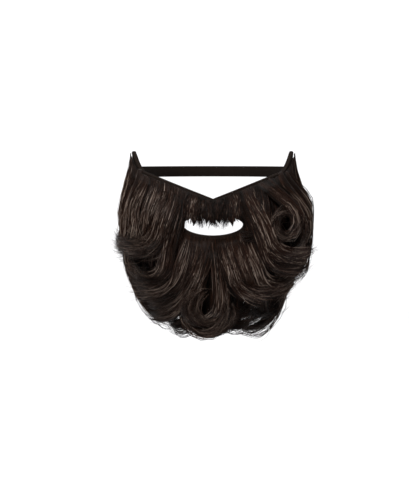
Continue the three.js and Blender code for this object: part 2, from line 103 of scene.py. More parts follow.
# Level sections of the form: height, half width, setback and forward, as shares.
FACE_SECTIONS = np.array(
    [
        (-0.6, 0.59, 0.36, 0.0),
        (-0.25, 0.71, 0.11, 0.0),
        (0.0, 0.815, 0.0, 0.0),
        (0.54, 0.94, 0.0, 1.0),
        (1.0, 1.0, 0.0, 0.9),
        (1.75, 1.037, 0.0, 0.45),
    ]
)
HALF_WIDTH, SETBACK, FORWARD = 1, 2, 3

# The locks that show, a row for each, with values in plain steps. Angles are in degrees.
#   turn, height   where it is rooted: round from the middle, and a share of NOSE_TO_CHIN
#   lean, sweep    its heading at the root and at the end of the fall, from straight down
#   fall, lift     length before it curls and how far it then stands off, as shares of
#                  HAIR_LENGTH and HAIR_BULK
#   curl, turns    radius of the curl, as a share of CURL_RADIUS, and its number of turns
#   roll, twist    which way it curls: 0 right, 90 outwards, 180 left, and its turn on the way
#   tighten        the curl's radius at the tip, as a share of its first
#   width          of the lock, as a share of LOCK_WIDTH
LOCK_COLUMNS = (
    "turn", "height", "lean", "sweep", "fall", "lift", "curl", "turns", "roll", "twist", "tighten",
    "width",
)
LOCKS = {
    "moustache_weft": [
        (-12, 1.05, -5, 0, 0.2, 0.35, 1, 0.05, 180, 0, 1, 0.85),
        (-4, 1, 0, 0, 0.15, 0.25, 1, 0.05, 180, 0, 1, 0.9),
        (4, 1, 0, 0, 0.15, 0.25, 1, 0.05, 0, 0, 1, 0.9),
        (12, 1.05, 5, 0, 0.2, 0.35, 1, 0.05, 0, 0, 1, 0.85),
        (-22, 1.05, -15, -10, 0.65, 0.8, 1.6, 0.3, 160, -40, 0.8, 0.8),
        (-25, 1.1, -5, -10, 0.6, 1, 1.4, 0.4, 175, -10, 0.8, 0.85),
        (-28, 1.15, 5, -20, 0.4, 1, 1.4, 0.3, 160, -50, 0.9, 0.85),
        (22, 1.05, 15, 25, 0.5, 1, 1.4, 0.4, 35, 50, 0.8, 0.85),
        (25, 1.15, 15, 25, 0.45, 1.1, 1.4, 0.35, 35, 55, 0.8, 0.85),
    ],
    "right_cheek_weft": [
        (31, 1.15, 15, 0, 0.45, 0.8, 1.2, 0.4, 10, 20, 0.9, 0.6),
        (34, 1.25, 60, 15, 0.4, 1.7, 0.8, 0.9, 210, 15, 0.75, 0.6),
        (41, 1.3, 55, 15, 0.5, 1.7, 1.15, 0.75, 210, 15, 0.9, 0.7),
        (53, 1.4, 40, 40, 0.55, 1.3, 1.2, 0.45, 200, 45, 1, 0.95),
        (61, 1.4, 45, 45, 0.45, 1.2, 2.2, 0.45, 175, 45, 1, 0.95),
        (70, 1.5, 10, 0, 0.75, 1.2, 1.3, 0.5, 195, 30, 0.8, 1),
        (79, 1.6, 0, 0, 0.65, 1, 1.1, 0.5, 190, 30, 0.8, 0.95),
        (44, 0.8, 30, 40, 0.65, 1.2, 1.8, 0.4, 200, 10, 1, 1),
        (60, 0.75, 35, 10, 0.7, 1.1, 2.1, 0.4, 205, 30, 1, 1),
    ],
    "left_cheek_weft": [
        (-79, 1.6, 0, 0, 0.6, 0.9, 1, 0.4, 165, 20, 0.8, 0.95),
        (-70, 1.5, -5, 0, 0.6, 1, 1, 0.35, 165, 20, 0.8, 1),
        (-62, 0.8, -40, -40, 0.6, 1.2, 2.1, 0.4, -10, -35, 1, 1),
        (-53, 0.8, -50, -15, 0.45, 1.2, 1.2, 0.45, -20, -40, 0.9, 0.95),
        (-38, 0.75, -15, -15, 0.5, 0.9, 1.3, 0.4, 175, 20, 0.8, 0.95),
        (-60, 1.45, -20, -5, 0.5, 1, 1.1, 0.35, 165, 0, 0.8, 1),
        (-52, 1.35, -30, 15, 0.4, 0.9, 1.2, 0.35, 170, -20, 0.8, 0.95),
        (-41, 1.25, 0, -5, 0.4, 1, 1.2, 0.35, 165, -20, 0.9, 0.95),
        (-32, 1.2, 10, -20, 0.4, 1.1, 1.2, 0.3, 155, -50, 0.9, 1),
    ],
    "chin_weft": [
        (22, 0.5, 10, 30, 0.4, 0.9, 1.3, 0.4, 25, 20, 0.7, 0.9),
        (15, 0.4, 10, 25, 0.35, 0.8, 1.4, 0.35, 20, 35, 0.7, 0.9),
        (8, 0.4, 5, 25, 0.35, 0.9, 1.4, 0.3, 20, 50, 0.8, 0.9),
        (-20, 0.45, 5, -25, 0.35, 0.9, 1.7, 0.3, 160, -30, 0.8, 0.9),
        (-12, 0.4, 0, -45, 0.55, 0.9, 1.4, 0.2, 150, -60, 0.9, 0.95),
        (-6, 0.4, -5, -40, 0.6, 0.9, 1.7, 0.2, 180, 10, 1, 0.95),
        (-2, 0.4, -15, -20, 0.6, 0.9, 1.1, 0.65, 5, -30, 1, 0.7),
        (0, 0.4, 10, 5, 0.55, 1, 0.95, 0.75, 170, 0, 1, 0.55),
    ],
}
# The locks beneath, evenly spread between two turns, in the same units.
UNDER_COLUMNS = ("from_turn", "to_turn", "count", "height", "fall", "lift", "curl", "turns")
UNDER_LOCKS = {
    "moustache_weft": [],
    "right_cheek_weft": [
        (33, 43, 2, 1.15, 0.3, 0.6, 0.9, 0.3),
        (36, 60, 3, 0.3, 0.45, 0.6, 0.9, 0.5),
        (60, 76, 2, 0.7, 0.55, 0.75, 1, 0.45),
        (58, 70, 2, 1.3, 0.4, 0.7, 1, 0.3),
    ],
    "left_cheek_weft": [
        (-60, -36, 3, 0.3, 0.45, 0.6, 0.9, 0.5),
        (-76, -56, 3, 0.7, 0.55, 0.75, 1, 0.45),
    ],
    "chin_weft": [(-24, 24, 5, 0, 0.4, 0.35, 0.8, 0.5)],
}
# Width along a lock: share of its length, share of its full width.
LOCK_TAPER = np.array([(0, 0.6), (0.2, 0.9), (0.5, 1.0), (0.8, 0.82), (1.0, 0.3)])

# The wefts: turns between which the bed lies, the bed's edges and its number of strands.
WEFT_COLUMNS = ("from_turn", "to_turn", "top", "bottom", "strands")
WEFTS = {
    "moustache_weft": (-29, 29, "binding", "over_mouth", 2100),
    "right_cheek_weft": (29.5, 82, "binding", "jaw", 2850),
    "left_cheek_weft": (-82, -29.5, "binding", "jaw", 2850),
    "chin_weft": (-29, 29, "under_mouth", "jaw", 2850),
}


# The form.


def smoothstep(value, low, high):
    """0 at low, 1 at high, and smooth between them."""
    t = np.clip((np.asarray(value, float) - low) / (high - low), 0, 1)
    return t * t * (3 - 2 * t)


def section(column, height):
    """One column of the form's sections at a height in millimetres, smoothly between the rows."""
    at = FACE_SECTIONS[:, 0]
    values = FACE_SECTIONS[:, column]
    share = np.clip(np.asarray(height, float) / NOSE_TO_CHIN, at[0], at[-1])
    i = np.clip(np.searchsorted(at, share, side="left") - 1, 0, len(at) - 2)
    ahead = np.minimum(np.arange(len(at)) + 1, len(at) - 1)
    behind = np.maximum(np.arange(len(at)) - 1, 0)
    slope = (values[ahead] - values[behind]) / (at[ahead] - at[behind])
    step = at[i + 1] - at[i]
    t = (share - at[i]) / step
    rise = values[i + 1] - values[i]
    return (
        values[i]
        + rise * t * t * (3 - 2 * t)
        + slope[i] * step * t * (1 - t) ** 2
        + slope[i + 1] * step * t * t * (t - 1)
    )


def half_width_at(height):
    return FACE_HALF_WIDTH * section(HALF_WIDTH, height)


def face_point(turn, height):
    """The point of the form at a turn in degrees and a height above the chin."""
    turn = np.radians(turn)
    front = EAR_DEPTH * section(SETBACK, height) - LIP_FORWARD * section(FORWARD, height)
    x = half_width_at(height) * np.sin(turn)
    y = front + (EAR_DEPTH - front) * (1 - np.cos(turn))
    return np.stack(np.broadcast_arrays(x, y, np.asarray(height, float)), axis=-1)


def unit(v):
    return v / np.maximum(np.linalg.norm(v, axis=-1, keepdims=True), 1e-9)


def face_normal(turn, height):
    across = face_point(turn + 0.5, height) - face_point(turn - 0.5, height)
    up = face_point(turn, height + 0.5) - face_point(turn, height - 0.5)
    return unit(np.cross(across, up))


def over_face(turn, height, lift):
    """A point that stands a lift off the form."""
    return face_point(turn, height) + face_normal(turn, height) * np.asarray(lift)[..., None]


def top_edge(turn):
    """The height of the backing's top edge, which rises to the ears."""
    side = np.abs(turn)
    sideburn = smoothstep(side, BACKING_END - SIDEBURN_SPAN, BACKING_END)
    return NOSE_TO_CHIN + CHEEK_RISE * np.sin(np.radians(side)) + SIDEBURN_RISE * sideburn


def jaw_edge(turn):
    """The height of the backing's bottom edge, which dips under the chin."""
    rise = top_edge(BACKING_END) - SIDEBURN_HEIGHT + CHIN_CUP
    return -CHIN_CUP + rise * smoothstep(np.abs(turn), JAW_LEVEL, BACKING_END) ** JAW_CURVE


def mouth_edge(turn, reach):
    """The height of the mouth opening's edge, a reach above or below its middle."""
    x = half_width_at(MOUTH_HEIGHT) * np.sin(np.radians(turn))
    share = np.minimum(np.abs(x) / (MOUTH_WIDTH / 2), 1)
    return MOUTH_HEIGHT + reach * np.sqrt(1 - share * share)


BINDING_ROOM = BINDING_LEG + CLEARANCE
EDGES = {
    "binding": lambda turn: top_edge(turn) - BINDING_ROOM,
    "over_mouth": lambda turn: mouth_edge(turn, MOUTH_RISE) + BINDING_ROOM,
    "under_mouth": lambda turn: mouth_edge(turn, -MOUTH_DROP) - BINDING_ROOM,
    "jaw": jaw_edge,
}


# Meshes.


def mesh_object(name, verts, faces, uvs=None, tones=None):
    """An object from vertices in millimetres and faces that have as many corners each.

    uvs and tones have a row for each vertex."""
    verts = np.asarray(verts, np.float32) * MM
    faces = np.asarray(faces, np.int32)
    corners = faces.shape[1]
    mesh = bpy.data.meshes.new(name)
    mesh.vertices.add(len(verts))
    mesh.vertices.foreach_set("co", verts.ravel())
    mesh.loops.add(faces.size)
    mesh.loops.foreach_set("vertex_index", faces.ravel())
    mesh.polygons.add(len(faces))
    mesh.polygons.foreach_set("loop_start", np.arange(0, faces.size, corners, dtype=np.int32))
    mesh.update(calc_edges=True)
    mesh.polygons.foreach_set("use_smooth", np.ones(len(faces), bool))
    if uvs is not None:
        layer = mesh.uv_layers.new(name="OFBake")
        layer.data.foreach_set("uv", np.asarray(uvs, np.float32)[faces.ravel()].ravel())
    if tones is not None:
        tone = mesh.attributes.new("tone", "FLOAT", "POINT")
        tone.data.foreach_set("value", np.asarray(tones, np.float32))
    mesh.validate()
    obj = bpy.data.objects.new(name, mesh)
    bpy.context.scene.collection.objects.link(obj)
    return obj


def place(obj, material, slot, *nodes):
    """Rides an object on the part, gives it its finish and lets it stand for its solids."""
    obj.data.materials.clear()
    obj.data.materials.append(material)
    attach(obj, "root")
    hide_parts(*nodes)
    return obj


def tube_faces(rings, sides, closed=False):
    """Quads round and along a tube of rings, for one tube whose vertices start at 0."""
    spans = rings if closed else rings - 1
    i, k = np.meshgrid(np.arange(spans), np.arange(sides), indexing="ij")
    nxt, aft = (i + 1) % rings, (k + 1) % sides
    quads = np.stack(
        [i * sides + k, i * sides + aft, nxt * sides + aft, nxt * sides + k], axis=-1
    )
    return quads.reshape(-1, 4)


def outward(obj):
    """Turns an object's faces to face outwards."""
    bm = bmesh.new()
    bm.from_mesh(obj.data)
    bmesh.ops.recalc_face_normals(bm, faces=bm.faces)
    bm.to_mesh(obj.data)
    bm.free()
    return obj


# Materials.


class Socket:
    """An output socket that takes arithmetic and adds the Math nodes for it."""

    def __init__(self, maker, socket):
        self.maker = maker
        self.socket = socket

    def _math(self, operation, *values):
        return self.maker.add("ShaderNodeMath", {"operation": operation}, dict(enumerate(values)))

    def __add__(self, other):
        return self._math("ADD", self, other)

    __radd__ = __add__

    def __mul__(self, other):
        return self._math("MULTIPLY", self, other)

    __rmul__ = __mul__

    def __sub__(self, other):
        return self._math("SUBTRACT", self, other)

    def __rsub__(self, other):
        return self._math("SUBTRACT", other, self)


class Maker:
    """Builds one material's nodes."""

    def __init__(self, name):
        self.material = bpy.data.materials.new(name)
        self.material.use_nodes = True
        self.tree = self.material.node_tree
        self.tree.nodes.clear()

    def add(self, kind, settings=None, inputs=None, output=0):
        """A node of a kind, with its settings made first and then its sockets' values and links."""
        node = self.tree.nodes.new(kind)
        for key, value in (settings or {}).items():
            if key == "stops":
                set_stops(node.color_ramp.elements, value)
            else:
                setattr(node, key, value)
        for key, value in (inputs or {}).items():
            if isinstance(value, Socket):
                self.tree.links.new(value.socket, node.inputs[key])
            else:
                node.inputs[key].default_value = value
        return Socket(self, node.outputs[output]) if len(node.outputs) else node

    def ramp(self, value, stops):
        return self.add("ShaderNodeValToRGB", {"stops": stops}, {"Fac": value}, output="Color")

    def finish(self, **sockets):
        """The material, with a shader that takes the sockets by their short names."""
        names = {
            "base": "Base Color", "rough": "Roughness", "normal": "Normal",
            "specular": "Specular IOR Level",
        }
        shader = self.add(
            "ShaderNodeBsdfPrincipled", {}, {names[k]: v for k, v in sockets.items()}
        )
        self.add("ShaderNodeOutputMaterial", {}, {"Surface": shader})
        return self.material


def set_stops(elements, stops):
    """Gives a ramp its stops, each a position and a colour."""
    while len(elements) < len(stops):
        elements.new(0.5)
    for element, (position, color) in zip(elements, stops):
        element.position = position
        element.color = (*color, 1)


def srgb(red, green, blue):
    """A colour of 0 to 255 as linear light."""
    return tuple((v / 255 / 12.92) if v < 10 else ((v / 255 + 0.055) / 1.055) ** 2.4
                 for v in (red, green, blue))


# Hair.


def lock_rows(weft):
    """The locks of a weft, those underneath first, as dicts."""
    rows = []
    for row in UNDER_LOCKS[weft]:
        group = dict(zip(UNDER_COLUMNS, row))
        for i in range(group["count"]):
            share = i / (group["count"] - 1)
            turn = group["from_turn"] + (group["to_turn"] - group["from_turn"]) * share
            rest = dict(lean=0, sweep=0, roll=0 if i % 2 else 180, twist=40, tighten=0.8, width=1)
            rows.append({**group, **rest, "turn": turn})
    rows += [dict(zip(LOCK_COLUMNS, row)) for row in LOCKS[weft]]
    return rows


def rotate(v, axis, angle):
    """Rows of v turned about rows of a unit axis."""
    c, s = np.cos(angle)[:, None], np.sin(angle)[:, None]
    along_axis = np.sum(axis * v, axis=1, keepdims=True)
    return v * c + np.cross(axis, v) * s + axis * along_axis * (1 - c)


def lock_lines(locks, steps=22, curls=18):
    """Points along many locks at once, in millimetres, from columns of the locks' table."""
    count = len(locks["turn"])
    step = locks["fall"] * HAIR_LENGTH / steps
    root_lift = BACKING_WALL + HAIR_BED
    full_lift = np.maximum(locks["lift"] * HAIR_BULK, root_lift)
    free = -CHIN_CUP * FREE_BELOW
    turn, height = locks["turn"].copy(), locks["height"] * NOSE_TO_CHIN
    hanging = np.zeros(count, bool)
    along = np.tile([0.0, 0.0, -1.0], (count, 1))
    points = []
    for i in range(steps + 1):
        share = i / steps
        heading = np.radians(locks["lean"] + (locks["sweep"] - locks["lean"]) * share)
        lift = root_lift + (full_lift - root_lift) * smoothstep(share, 0, 1)
        here = over_face(turn, height, lift)
        if i:
            down = unit(
                np.stack([np.sin(heading), np.full(count, -HANG_BACK), -np.cos(heading)], axis=1)
            )
            ease = (1 - (1 - STRAIGHTEN) ** (step / STRAIGHTEN_OVER))[:, None]
            free_along = unit(along + (down - along) * ease)
            here = np.where(hanging[:, None], points[-1] + free_along * step[:, None], here)
            along = np.where(hanging[:, None], free_along, unit(here - points[-1]))
        points.append(here)
        there = over_face(turn, height, lift)
        per_degree = np.linalg.norm(over_face(turn + 1, height, lift) - there, axis=1)
        per_height = np.linalg.norm(over_face(turn, height + 1, lift) - there, axis=1)
        moving = ~hanging
        hanging = hanging | (height < free)
        turn = turn + moving * np.sin(heading) * step / per_degree
        height = height - moving * np.cos(heading) * step / per_height
    out = face_normal(turn, np.maximum(height, free))
    out[:, 2] = np.where(hanging, 0, out[:, 2])
    out = unit(out - along * np.sum(out * along, axis=1, keepdims=True))
    rightward = np.cross(along, out)
    rightward *= np.where(rightward[:, :1] < 0, -1, 1)
    roll = np.radians(locks["roll"])[:, None]
    toward = rightward * np.cos(roll) + out * np.sin(roll)
    axis = np.cross(along, toward)
    angle = locks["turns"] * 2 * math.pi / curls
    for i in range(curls):
        radius = CURL_RADIUS * locks["curl"] * (1 + (locks["tighten"] - 1) * i / curls)
        points.append(points[-1] + rotate(along, axis, angle / 2) * (radius * angle)[:, None])
        along = rotate(along, axis, angle)
        toward = rotate(toward, axis, angle)
        toward = rotate(toward, along, np.radians(locks["twist"]) / curls)
        axis = np.cross(along, toward)
    return np.stack(points, axis=1)


def columns_of(rows):
    """Rows of locks as one array for each column."""
    return {name: np.array([row[name] for row in rows], float) for name in LOCK_COLUMNS}


# How much the rings of a line crowd where it turns by half a circle.
BEND_CROWDING = 0.9


def framed(points, rings, first_outs):
    """Lines resampled to rings that crowd where they bend.

    Gives the lines, the directions across and out of each, and how far along each ring lies."""
    count = len(points)
    lengths = gathered(np.linalg.norm(np.diff(points, axis=1), axis=2))
    along = directions(points)
    bends = np.arccos(np.clip(np.sum(along[:, 1:] * along[:, :-1], axis=2), -1, 1))
    pace = lengths / lengths[:, -1:] + BEND_CROWDING * gathered(bends + 1e-6) / math.pi
    lines, share = np.empty((count, rings, 3)), np.empty((count, rings))
    for n in range(count):
        want = np.linspace(0, pace[n, -1], rings)
        share[n] = np.interp(want, pace[n], lengths[n]) / lengths[n, -1]
        for k in range(3):
            lines[n, :, k] = np.interp(want, pace[n], points[n, :, k])
    along = directions(lines)
    outs = np.empty_like(lines)
    out = first_outs
    for i in range(rings):
        out = unit(out - along[:, i] * np.sum(out * along[:, i], axis=1, keepdims=True))
        outs[:, i] = out
    return lines, np.cross(along, outs), outs, share


def gathered(steps):
    """Rows of steps summed up from 0."""
    return np.concatenate([np.zeros((len(steps), 1)), np.cumsum(steps, axis=1)], axis=1)


def directions(lines):
    """The unit directions of lines at each of their points."""
    along = np.empty_like(lines)
    along[:, 1:-1] = lines[:, 2:] - lines[:, :-2]
    along[:, 0], along[:, -1] = lines[:, 1] - lines[:, 0], lines[:, -1] - lines[:, -2]
    return unit(along)


# How far a wisp strays from its lock, as one standard deviation of each column.
STRAY = {
    "height": 0.008, "lean": 2.0, "sweep": 3.0, "fall": 0.015, "lift": 0.04, "curl": 0.06,
    "turns": 0.05, "roll": 5.0, "twist": 8.0, "tighten": 0.04,
}
IN_PROPORTION = ("curl", "turns", "tighten", "lift")
STRANDS_IN_WISP = 4
FEWEST_WISPS = 5

# Wisps: how many lie on a lock's inner side, how far beneath the fold the topmost are sewn, and
# how far out they lie, how they swing and where the lock has gathered them.
WISPS_BENEATH = 0.12
SEWN_TO_FOLD = (0.5, 1.3)
WISP_DEPTH = (0.82, 1.08)
WISP_SWING = (0.1, 0.8)
SWING_BEATS = (0.6, 1.8)
GATHERED_BY = 0.35

# The wave of a whole lock: its height, and its crests over a fall of half of HAIR_LENGTH.
LOCK_WAVE = 0.9
WAVE_CRESTS = (2.5, 4)
WAVE_FALL = 0.5

# Strands: how loosely they lie in their wisp, their crimps, and where they leave the sewing.
LOOSENESS = [0.8, 1, 1, 1.3, 1.8, 3.6]
CRIMPS = (3.2, 8)
LEAVING_SEWING = 0.25
SHORTEST = 0.86

# Tones of the strands, from 0 for the darkest to 1 for the lightest, with painted shade and glints.
MIDDLE_TONE = 0.46
STRAND_TONES = 0.16
GLINT = 0.2
GLINT_BEATS = (8, 22)
COVERED_SHADE = 0.35
BENEATH_SHADE = 0.3
FLANK_SHADE = 0.3
NOSE_SHADE = 0.25
NOSE_TURNS = (7, 12)
SHORT_HAIR_SHADE = 0.12
ROOT_SHADE = 0.35

# Thickness along a strand: share of its length, share of its full radius.
STRAND_TAPER = np.array([(0, 0.75), (0.08, 1), (0.6, 0.9), (1, 0.25)])


def rooted_wisps(rows, counts, rng, spread, edge):
    """The wisps of some locks, which stray a little from them, so that no two curl alike.

    spread is how far apart they are rooted, as a share of the lock's width, and edge is the edge
    of the bed that the roots keep level with."""
    each = np.maximum(FEWEST_WISPS, counts // STRANDS_IN_WISP)
    owner = np.repeat(np.arange(len(rows)), each)
    count = len(owner)
    place_in_lock = np.concatenate([(np.arange(n) + 0.5) / n for n in each])
    columns = {name: values[owner] for name, values in columns_of(rows).items()}
    for name, amount in STRAY.items():
        scale = np.abs(columns[name]) if name in IN_PROPORTION else 1
        columns[name] = columns[name] + rng.normal(0, amount, count) * scale
    # most lie round the outer side of the lock, a little more than half the way round it
    angle = math.pi * (1.12 - 1.24 * place_in_lock) + rng.normal(0, 0.12, count)
    beneath = rng.uniform(0, 1, count) < WISPS_BENEATH
    angle = np.where(beneath, -angle, angle)
    reach = LOCK_WIDTH * columns["width"]
    rooted = -np.cos(angle) * spread * reach * rng.uniform(0.7, 1.1, count)
    degrees = np.degrees(rooted / FACE_HALF_WIDTH)
    slope = edge(columns["turn"] + degrees) - edge(columns["turn"])
    columns["height"] = columns["height"] + slope / NOSE_TO_CHIN
    columns["turn"] = columns["turn"] + degrees
    # the topmost are sewn right up to the binding's fold
    top = edge(columns["turn"]) + BINDING_ROOM - rng.uniform(*SEWN_TO_FOLD, count)
    at_edge = np.abs(columns["height"] - top / NOSE_TO_CHIN) < 0.12
    columns["height"] = np.where(at_edge, top / NOSE_TO_CHIN, columns["height"])
    return SimpleNamespace(
        each=each, owner=owner, count=count, place=place_in_lock, columns=columns, angle=angle,
        beneath=beneath, reach=reach, rooted=rooted,
    )


def wisp_lines(rows, wisps, rng, rings):
    """The wisps' lines round their locks, the directions across and out of them, and shares."""
    first = face_normal(wisps.columns["turn"], wisps.columns["height"] * NOSE_TO_CHIN)
    lines, across, outs, share = framed(lock_lines(wisps.columns, 30, 24), rings, first)
    size = np.interp(share, LOCK_TAPER[:, 0], LOCK_TAPER[:, 1]) * wisps.reach[:, None]
    angle = wisps.angle[:, None]
    depth = rng.uniform(*WISP_DEPTH, wisps.count)[:, None]
    gather = smoothstep(share, 0, GATHERED_BY)
    side = (-depth * np.cos(angle) * 0.5 * size - wisps.rooted[:, None]) * gather
    rise = depth * np.sin(angle) * 0.5 * LOCK_FLATNESS * size * (0.25 + 0.75 * gather)
    # each wisp swings about its place
    beat = rng.uniform(*SWING_BEATS, wisps.count)[:, None]
    phase = rng.uniform(0, 2 * math.pi, wisps.count)[:, None]
    swing = rng.uniform(*WISP_SWING, wisps.count)[:, None] * gather
    side = side + swing * np.sin(phase + beat * 2 * math.pi * share)
    rise = rise + swing * 0.6 * np.cos(phase + beat * 2 * math.pi * share)
    # the whole lock waves outwards, so that its crests catch the light side by side
    crests = rng.uniform(*WAVE_CRESTS, len(rows)) * columns_of(rows)["fall"] / WAVE_FALL
    start_of_wave = rng.uniform(0, 2 * math.pi, len(rows))
    wave = start_of_wave[wisps.owner, None] + crests[wisps.owner, None] * 2 * math.pi * share
    wave = wave + rng.normal(0, 0.35, (wisps.count, 1)) + 1.2 * np.cos(angle)
    rise = rise + LOCK_WAVE * smoothstep(share, 0.3, 0.7) * (1 + np.sin(wave))
    return lines + side[..., None] * across + rise[..., None] * outs, across, outs, share


def members(counts, wisps):
    """The wisp that each strand belongs to."""
    start = np.concatenate([[0], np.cumsum(wisps.each)[:-1]])
    lock = np.repeat(np.arange(len(counts)), counts)
    turn_in = np.concatenate([np.arange(n) for n in counts])
    return start[lock] + turn_in % wisps.each[lock]


def strand_lines(member, wisps, drawn, rng, rings):
    """The strands' lines, strewn about their wisp's line and cut to lengths of their own."""
    lines, across, outs, share = (values[member] for values in drawn)
    total = len(member)
    loose = rng.choice(LOOSENESS, (total, 1))
    width = 0.5 * (1.1 - 0.5 * share + 0.5 * share**3) * loose
    crimps = rng.uniform(*CRIMPS, (total, 1)) * wisps.columns["fall"][member][:, None]
    crimp = crimps * 2 * math.pi * share
    crimp = crimp + rng.uniform(0, 2 * math.pi, (total, 1))
    lean_over = rng.normal(0, 1.3, (total, 1)) * (share - 0.4)
    side = (rng.normal(0, 1, (total, 1)) + lean_over + 0.7 * np.sin(crimp)) * width
    rise = (rng.normal(0, 0.6, (total, 1)) + 0.5 * np.cos(crimp)) * width
    # the roots stay close to the line of sewing
    free = smoothstep(share, 0, LEAVING_SEWING)
    side, rise = side * (0.35 + 0.65 * free), rise * free
    paths = lines + side[..., None] * across + rise[..., None] * outs
    cut = rng.uniform(SHORTEST, 1.0, total)
    at = np.linspace(0, 1, rings)[None, :] * cut[:, None] * (rings - 1)
    low = np.clip(at.astype(int), 0, rings - 2)
    part = (at - low)[..., None]
    index = np.arange(total)[:, None]
    return paths[index, low] * (1 - part) + paths[index, low + 1] * part


def strand_tones(rows, member, wisps, share, rng):
    """The strands' tones along them: painted shade where hair lies over them, painted glints
    between.
    """
    drift = np.sin(wisps.place * 17 + wisps.owner * 2.4) + rng.normal(0, 0.8, wisps.count)
    under_nose = 1 - smoothstep(np.abs(wisps.columns["turn"]), *NOSE_TURNS)
    short_hair = wisps.columns["fall"] < 0.25
    covered = np.array(["count" in row for row in rows])[wisps.owner]
    # painted shade: short hair under the nose, hair lying over hair, locks beneath and their flanks
    shaded = (SHORT_HAIR_SHADE + NOSE_SHADE * under_nose) * short_hair
    shaded = shaded + COVERED_SHADE * covered + BENEATH_SHADE * wisps.beneath
    shaded = shaded + FLANK_SHADE * np.abs(np.cos(wisps.angle)) ** 5
    shaded = shaded + rng.normal(0, 0.02, len(rows))[wisps.owner] - 0.05 * drift
    total = len(member)
    tones = MIDDLE_TONE - shaded[member] + STRAND_TONES * rng.normal(0, 1, total)
    # painted highlights: the tone rises and falls along each strand
    phase = rng.uniform(0, 2 * math.pi, (total, 1))
    beat = rng.uniform(*GLINT_BEATS, (total, 1))
    return tones[:, None] + GLINT * np.sin(phase + beat * share[member])


def strand_paths(rows, counts, rng, rings, spread, edge):
    """Paths of the strands of some locks as an array of strand, ring and xyz, and their tones."""
    wisps = rooted_wisps(rows, counts, rng, spread, edge)
    drawn = wisp_lines(rows, wisps, rng, rings)
    member = members(counts, wisps)
    paths = strand_lines(member, wisps, drawn, rng, rings)
    return paths, strand_tones(rows, member, wisps, drawn[3], rng)


def tubes(paths, radii, tones):
    """Closed three-sided tubes along paths of one length, with a UV cell for each."""
    count, rings, _ = paths.shape
    along = directions(paths)
    # a direction that no strand follows for long
    hint = np.broadcast_to(np.array([0.31, 0.9, 0.3]), along.shape)
    first = unit(np.cross(along, hint))
    second = np.cross(along, first)
    profile = np.interp(np.linspace(0, 1, rings), STRAND_TAPER[:, 0], STRAND_TAPER[:, 1])
    radius = radii[:, None] * profile[None, :]
    verts = np.empty((count, rings, 3, 3))
    for k in range(3):
        a = 2 * math.pi * k / 3
        verts[:, :, k] = paths + radius[..., None] * (first * math.cos(a) + second * math.sin(a))
    body = split(tube_faces(rings, 3))
    last = (rings - 1) * 3
    faces = np.concatenate([body, [[0, 2, 1], [last, last + 1, last + 2]]])
    base = (np.arange(count) * rings * 3)[:, None, None]
    faces = (faces[None] + base).reshape(-1, 3)
    cells = math.ceil(math.sqrt(count))
    cell = np.arange(count)
    u0, v0 = (cell % cells) / cells, (cell // cells) / cells
    u = u0[:, None, None] + (0.1 + 0.8 * np.linspace(0, 1, rings))[None, :, None] / cells
    v = v0[:, None, None] + (0.1 + 0.4 * np.arange(3))[None, None, :] / cells
    uvs = np.stack(np.broadcast_arrays(u, v), axis=-1).reshape(-1, 2)
    # painted shade at the roots
    root_shade = np.interp(np.linspace(0, 1, rings), [0, 0.2], [ROOT_SHADE, 0])
    tone = np.repeat((tones - root_shade[None, :]).reshape(-1), 3)
    return verts.reshape(-1, 3), faces, uvs, tone


def hair_material(name, settings):
    """Hair that runs dark to light by tones with painted shade and glints, the lightest a little
    glossier.
    """
    maker = Maker(name)
    tone = maker.add("ShaderNodeAttribute", {"attribute_name": "tone"}, output="Fac")
    shades = (settings.hair_dark, settings.hair_mid, settings.hair_light)
    stops = [(position, tuple(shade)) for position, shade in zip((0.0, 0.5, 1.0), shades)]
    roughness = 0.46 - 0.12 * tone
    return maker.finish(base=maker.ramp(tone, stops), rough=roughness, specular=0.05)


def core_material(name, settings):
    """Fine streaks that run along the locks."""
    maker = Maker(name)
    where = maker.add("ShaderNodeTexCoord", output="UV")
    drawn = maker.add(
        "ShaderNodeVectorMath", {"operation": "MULTIPLY"}, {0: where, 1: (420.0, 3.0, 1.0)}
    )
    streak = maker.add("ShaderNodeTexNoise", {}, {"Vector": drawn, "Scale": 1.0, "Detail": 3.0})
    dark, mid = tuple(settings.hair_dark), tuple(settings.hair_mid)
    colour = maker.ramp(streak, [(0.35, tuple(v * 0.4 for v in dark)), (0.75, mid)])
    bump = maker.add("ShaderNodeBump", {}, {"Height": streak, "Strength": 0.8, "Distance": 0.0006})
    return maker.finish(base=colour, rough=0.6, normal=bump, specular=0.05)


# Width along a core lock, as a share of the lock's own; and the UV rows left for the bed.
CORE_TAPER = np.array([(0, 0.8), (0.8, 0.6), (1, 0.2)])
BED_ROWS = 4
BED_THICKNESS = 0.9


